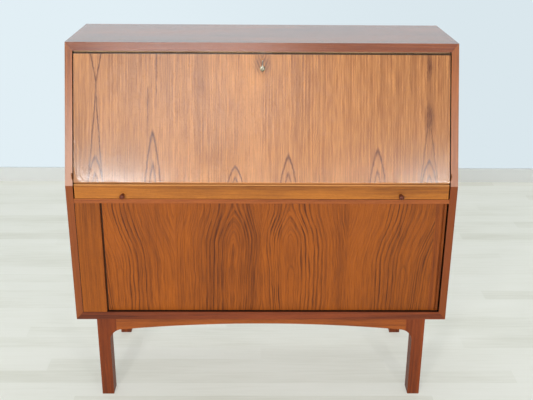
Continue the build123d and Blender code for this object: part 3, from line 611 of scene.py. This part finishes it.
def prism(shape, outline, low, high):
    """An upright bar with that outline in plan."""
    foot = [shape.verts.new((x, y, low)) for x, y in outline]
    head = [shape.verts.new((x, y, high)) for x, y in outline]
    shape.faces.new(foot[::-1])
    shape.faces.new(head)
    for a in range(len(outline)):
        b = (a + 1) % len(outline)
        shape.faces.new((foot[a], foot[b], head[b], head[a]))


slats = bmesh.new()
arris = 0.0002
for number in range(slat_count):
    left = slat_box_high.x + slat_joint / 2 - slat_pitch * (number + 1) + slat_gap / 2
    right = left + slat_pitch - slat_gap
    face, rear = slat_face, slat_face + slat_thickness
    prism(slats, [(left, face + arris), (left + arris, face), (right - arris, face),
                  (right, face + arris), (right, rear), (left, rear)], slat_foot, slat_head)
    t0, t1 = track_middle - tongue_thickness / 2, track_middle + tongue_thickness / 2
    for low, high in ((slat_box_low.z, slat_foot), (slat_head, slat_box_high.z)):
        prism(slats, [(left + 0.001, t0), (right - 0.001, t0), (right - 0.001, t1),
                      (left + 0.001, t1)], low, high)

tambour_leaf = 0.25
panel = Finish("teak_tambour_veneer")
u, leaf_number = book_matched(panel, panel.x, tambour_leaf)
tambour_head = 0.643
down = panel.add(tambour_head, panel.times(panel.z, -1))
sway = panel.noise(panel.point(panel.times(u, 10), leaf_number, panel.times(down, 7)), 2.0)
waver = panel.noise(panel.point(panel.times(u, 30), leaf_number, panel.times(down, 22)), 2.0)
outermost = panel.fade(panel.calc("ABSOLUTE", panel.x), tambour_leaf - 2 * blur,
                       tambour_leaf + 2 * blur)
u = panel.add(u, panel.times(down, panel.fade(u, 0.05, 0.12, -0.06, 0.0)),
              panel.times(outermost, panel.fade(down, 0.0, 0.20, 0.042, 0.0)),
              panel.times(sway, 0.014), panel.times(waver, 0.006))
plain_middle = 0.079
side = panel.add(u, -plain_middle)
arch = panel.times(panel.fade(down, 0.0, 0.15, 0.046, 0.0),
                   panel.add(1.0, panel.times(outermost, -1)))
ring = growth_ring(panel, side, arch, 1.4)
foot_ring = panel.calc("SQRT", panel.add(panel.times(side, side), panel.calc(
    "POWER", panel.times(panel.calc("MAXIMUM", panel.add(0.30, panel.times(down, -1)), 0.0),
                         0.18), 2)))

# The growth lines stand in bunches: close together towards the joint, wider apart on the other
# side of the plain middle, each thin, dark and broken in places.
uneven = panel.noise(panel.point(panel.times(ring, 55), leaf_number, panel.times(down, 4)), 2.0)
spaced = panel.add(ring, panel.times(uneven, 0.014))
inner = panel.times(
    drawn_line(panel, panel.calc("PINGPONG", spaced, 0.0036), 0.0028, 1.0),
    panel.fade(ring, 0.030, 0.042), panel.fade(ring, 0.070, 0.080, 1.0, 0.2),
    panel.fade(side, -0.004, 0.004, 1.0, 0.0))
outer = panel.times(
    drawn_line(panel, panel.calc("PINGPONG", spaced, 0.0060), 0.0034, 1.0),
    panel.fade(ring, 0.018, 0.030), panel.fade(ring, 0.085, 0.110, 1.0, 0.15),
    panel.fade(side, -0.004, 0.004))
figure = panel.calc("MAXIMUM", panel.calc("MAXIMUM", inner, outer),
                    drawn_line(panel, panel.add(foot_ring, -0.018), 0.002, 0.4))
broken = panel.noise(panel.point(panel.times(u, 70), leaf_number, panel.times(down, 9)), 2.0)
figure = panel.times(figure, panel.fade(broken, -0.25, 0.15, 0.1, 1.0))
# a painted shadow of the stile on the slats beside it, and painted shade growing towards the right
stile_shadow = panel.fade(panel.x, stile_edge + 0.0040, stile_edge + 0.0046, 0.88, 0.0)
shade_to_the_right = panel.fade(panel.x, 0.05, 0.50, 0.0, 0.10)
tambour_teak = wood(panel, panel.add(ring, panel.times(leaf_number, 0.37)), 0.0, panel.z,
                    (151, 77, 12), lines=0.46, pitch=0.0055, late=0.2, bands=0.7, seed=9.0,
                    roughness=0.42, fibre=1.5, figure=figure, figure_tone=(78, 32, 6),
                    shade=panel.calc("MAXIMUM", stile_shadow, shade_to_the_right))
curtain = new_piece("curtain_slats", slats, tambour_teak, "case")
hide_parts("tambour_slats")
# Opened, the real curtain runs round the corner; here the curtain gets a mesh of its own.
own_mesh(curtain)

canvas_low, canvas_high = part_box("tambour_canvas")
cloth = bmesh.new()
prism(cloth, [(canvas_low.x, canvas_low.y), (canvas_high.x, canvas_low.y),
              (canvas_high.x, canvas_high.y), (canvas_low.x, canvas_high.y)],
      canvas_low.z, canvas_high.z)
linen = Finish("canvas", 0.9)
weave = linen.calc("ADD", linen.calc("SINE", linen.times(linen.x, 5200)),
                   linen.calc("SINE", linen.times(linen.z, 5200)))
linen.feed(linen.surface.inputs["Base Color"],
           linen.mix(linen.fade(weave, -2.0, 2.0), paint(150, 132, 100), paint(196, 182, 150)))
linen.relief(weave, 0.0002)
canvas = new_piece("curtain_canvas", cloth, linen.material, "case")
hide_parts("tambour_canvas")
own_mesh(canvas)

lead_teak = straight_teak("teak_lead_rail", "z", (142, 70, 14), 17.0, heart=1.0, lines=0.8)
dress(lead_teak, "lead_rail")
stile_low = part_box("tambour_stile")[0]
# a thin line of painted shade runs along the stile's left edge, where it meets the side
stile_teak = straight_teak("teak_stile", "z", (144, 74, 10), 19.0, heart=0.2, lines=0.5,
                           shaded_recess=((stile_low.x - 0.001, -1.0, 0.0),
                                   (stile_low.x + 0.0012, 1.0, 1.0)))
dress(stile_teak, "tambour_stile")

# ---------------------------------------------------------------------------------------------
# Leg frame: four solid teak legs with an ear at the top, joined to aprons arched on their
# undersides, side rails between, beech corner blocks glued in and screwed up into the case.
# ---------------------------------------------------------------------------------------------
leg_teak = straight_teak("teak_legs", "z", (122, 53, 16), 23.0, heart=0.6, lines=0.8, pitch=0.006)
apron_teak = straight_teak("teak_aprons", "x", (149, 76, 25), 27.0, heart=0.4, lines=0.4)
rail_side_teak = straight_teak("teak_side_rails", "y", (149, 76, 25), 29.0, heart=0.4, lines=0.8)
dress(leg_teak, "leg_front_left", "leg_front_right", "leg_rear_left", "leg_rear_right")
dress(apron_teak, "apron_front", "apron_rear")
dress(rail_side_teak, "side_rail_left", "side_rail_right")
dress(beech, "corner_blocks")
dress(steel, "base_screws")

# ---------------------------------------------------------------------------------------------
# The room: a pale limed floor and a pale wall that shows only from its front. Two lamps stand in
# front at the sides with a low strip between them, a large soft one hangs behind the camera, and
# one over the desk lights its top. The camera stands in front of the desk, above its top.
# ---------------------------------------------------------------------------------------------


def one_sided(finish):
    """Lets the camera see through the back of a stage plane, so that the desk shows from there."""
    behind = finish.node("ShaderNodeNewGeometry").outputs["Backfacing"]
    output = finish.tree.nodes["Material Output"].inputs["Surface"]
    clear = finish.node("ShaderNodeMixShader")
    finish.feed(clear.inputs[0], finish.times(
        behind, finish.node("ShaderNodeLightPath").outputs["Is Camera Ray"]))
    finish.feed(clear.inputs[1], output.links[0].from_socket)
    finish.feed(clear.inputs[2], finish.node("ShaderNodeBsdfTransparent").outputs[0])
    finish.feed(output, clear.outputs[0])


def seen_directly(finish):
    """1 where the camera sees a surface itself, in a mirror or through glass, otherwise 0."""
    path = finish.node("ShaderNodeLightPath").outputs
    return finish.calc("MAXIMUM", path["Is Camera Ray"], finish.calc(
        "MAXIMUM", path["Is Glossy Ray"], path["Is Transmission Ray"]))


def plane(name, corners, finish):
    """A flat piece of the room."""
    mesh = bpy.data.meshes.new(name)
    mesh.from_pydata(corners, [], [(0, 1, 2, 3)])
    made = bpy.data.objects.new(name, mesh)
    bpy.context.scene.collection.objects.link(made)
    mesh.materials.append(finish)
    made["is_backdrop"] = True


wall_y = 1.75
room_half = 9.0
floor_board_width = 0.07
floor_glow_share = 0.5
floor = Finish("limed_floor", 0.6, 0.3)
row = floor.calc("FLOOR", floor.calc("DIVIDE", floor.y, floor_board_width))
board_number = floor.calc("FLOOR", floor.add(floor.times(floor.x, 0.9), floor.times(row, 0.37)))
board_tone = floor.noise(floor.point(floor.times(board_number, 7.3), floor.times(row, 5.1), 0), 0.0)
patch = floor.noise(floor.point(floor.times(floor.x, 1.6), floor.times(floor.y, 6), 0), 3.0)
streak = floor.noise(floor.point(floor.times(floor.x, 5), floor.times(floor.y, 90), 0), 3.0, 0.6)
limed = floor.ramp(floor.add(0.5, floor.times(patch, 0.45), floor.times(board_tone, 0.4),
                             floor.times(streak, 0.28)),
                   (0.10, paint(204, 204, 188)), (0.5, paint(233, 234, 224)),
                   (0.85, paint(243, 244, 237)))
floor.feed(floor.surface.inputs["Base Color"], limed)
# where the camera sees the floor, directly or in a reflection, half of it is a glow of its own
# colours, painted a little darker towards the front as painted shade
painted_front_shade = floor.mix(floor.fade(floor.y, -0.2, -0.9), paint(255, 255, 255), paint(228, 228, 218))
floor_blend = floor.node("ShaderNodeMixShader")
floor_glow = floor.node("ShaderNodeEmission")
floor.feed(floor_glow.inputs["Color"], floor.mix(1.0, limed, painted_front_shade, way="MULTIPLY"))
floor.feed(floor_blend.inputs[0], floor.times(seen_directly(floor), floor_glow_share))
floor.feed(floor_blend.inputs[1], floor.surface.outputs[0])
floor.feed(floor_blend.inputs[2], floor_glow.outputs[0])
floor.feed(floor.tree.nodes["Material Output"].inputs["Surface"], floor_blend.outputs[0])
plane("floor", [(-room_half, -room_half, 0), (room_half, -room_half, 0),
                (room_half, room_half, 0), (-room_half, room_half, 0)], floor.material)

wall = Finish("wall", 0.9, 0.2)
wall.surface.inputs["Base Color"].default_value = paint(225, 240, 248)
# seen directly or in a reflection the wall is a glow, painted a little darker towards the right as
# painted shade
glow = wall.node("ShaderNodeEmission")
wall.feed(glow.inputs["Color"], wall.mix(wall.fade(wall.x, -0.9, 1.1), paint(226, 239, 245),
                                         paint(218, 231, 237)))
blend = wall.node("ShaderNodeMixShader")
wall.feed(blend.inputs[0], seen_directly(wall))
wall.feed(blend.inputs[1], wall.surface.outputs[0])
wall.feed(blend.inputs[2], glow.outputs[0])
wall.feed(wall.tree.nodes["Material Output"].inputs["Surface"], blend.outputs[0])
one_sided(wall)
skirting = Finish("skirting", 0.5, 0.3)
skirting.surface.inputs["Base Color"].default_value = paint(240, 242, 240)
one_sided(skirting)
skirting_y, skirting_top = wall_y - 0.016, 0.075
plane("skirting", [(-room_half, skirting_y, 0), (room_half, skirting_y, 0),
                   (room_half, skirting_y, skirting_top), (-room_half, skirting_y, skirting_top)],
      skirting.material)
plane("skirting_edge", [(-room_half, skirting_y, skirting_top), (room_half, skirting_y, skirting_top),
                        (room_half, wall_y, skirting_top), (-room_half, wall_y, skirting_top)],
      skirting.material)
plane("wall", [(-room_half, wall_y, 0), (room_half, wall_y, 0),
               (room_half, wall_y, 6), (-room_half, wall_y, 6)], wall.material)

world = bpy.data.worlds.new("room_light")
bpy.context.scene.world = world
world.use_nodes = True
sky = world.node_tree.nodes["Background"]
sky.inputs["Color"].default_value = (0.97, 0.99, 1.0, 1.0)
# strong at the horizon, weaker overhead
horizon, overhead = 0.05, 0.65
horizon_strength, overhead_strength = 0.92, 0.38
direction = world.node_tree.nodes.new("ShaderNodeTexCoord")
steepness = world.node_tree.nodes.new("ShaderNodeSeparateXYZ")
level = world.node_tree.nodes.new("ShaderNodeMapRange")
for socket, number in zip(level.inputs[1:5],
                          (horizon, overhead, horizon_strength, overhead_strength)):
    socket.default_value = number
world.node_tree.links.new(direction.outputs["Generated"], steepness.inputs[0])
world.node_tree.links.new(steepness.outputs["Z"], level.inputs[0])
world.node_tree.links.new(level.outputs[0], sky.inputs["Strength"])


def soft_light(name, place, aim, width, height, power):
    """An oval lamp at a place, turned towards the point that it aims at."""
    lamp = bpy.data.lights.new(name, "AREA")
    lamp.shape = "ELLIPSE"
    lamp.size, lamp.size_y = width, height
    lamp.energy = power
    made = bpy.data.objects.new(name, lamp)
    bpy.context.scene.collection.objects.link(made)
    made.location = place
    made.rotation_euler = (Vector(aim) - Vector(place)).to_track_quat("-Z", "Y").to_euler()


soft_light("light_left", (-1.03, -3.2, 1.57), (0, 0, 0.6), 0.36, 0.36, 42)
soft_light("light_right", (1.25, -3.2, 1.62), (0, 0, 0.6), 0.24, 0.24, 23)
soft_light("light_low", (0.15, -3.2, 1.6), (0, 0, 0.6), 1.7, 0.2, 9)
soft_light("light_front", (-0.6, -4.6, 3.2), (0, 0, 0.7), 2.0, 1.2, 31)
soft_light("light_back", (0, 1.6, 2.4), (0, 0, 0.9), 3.0, 0.7, 16)

camera_place = Vector((-0.0157, -2.3409, 1.4856))
camera_turns = (0.760, 21.319, 0.419)  # to the right, down and rolled, in degrees
camera_data = bpy.data.cameras.new("camera")
camera_data.sensor_width = 36.0
camera_data.lens = 54.797
camera = bpy.data.objects.new("camera", camera_data)
bpy.context.scene.collection.objects.link(camera)
yaw, pitch, roll = (math.radians(turn) for turn in camera_turns)
forward = Vector((math.sin(yaw) * math.cos(pitch), math.cos(yaw) * math.cos(pitch),
                  -math.sin(pitch)))
right = Vector((math.cos(yaw), -math.sin(yaw), 0))
up = right.cross(forward)
turned_right = math.cos(roll) * right + math.sin(roll) * up
turned_up = math.cos(roll) * up - math.sin(roll) * right
axes = Matrix((turned_right, turned_up, -forward)).transposed().to_4x4()
camera.matrix_world = Matrix.Translation(camera_place) @ axes
bpy.context.scene.camera = camera
bpy.context.scene.view_settings.view_transform = "Standard"

low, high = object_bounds()
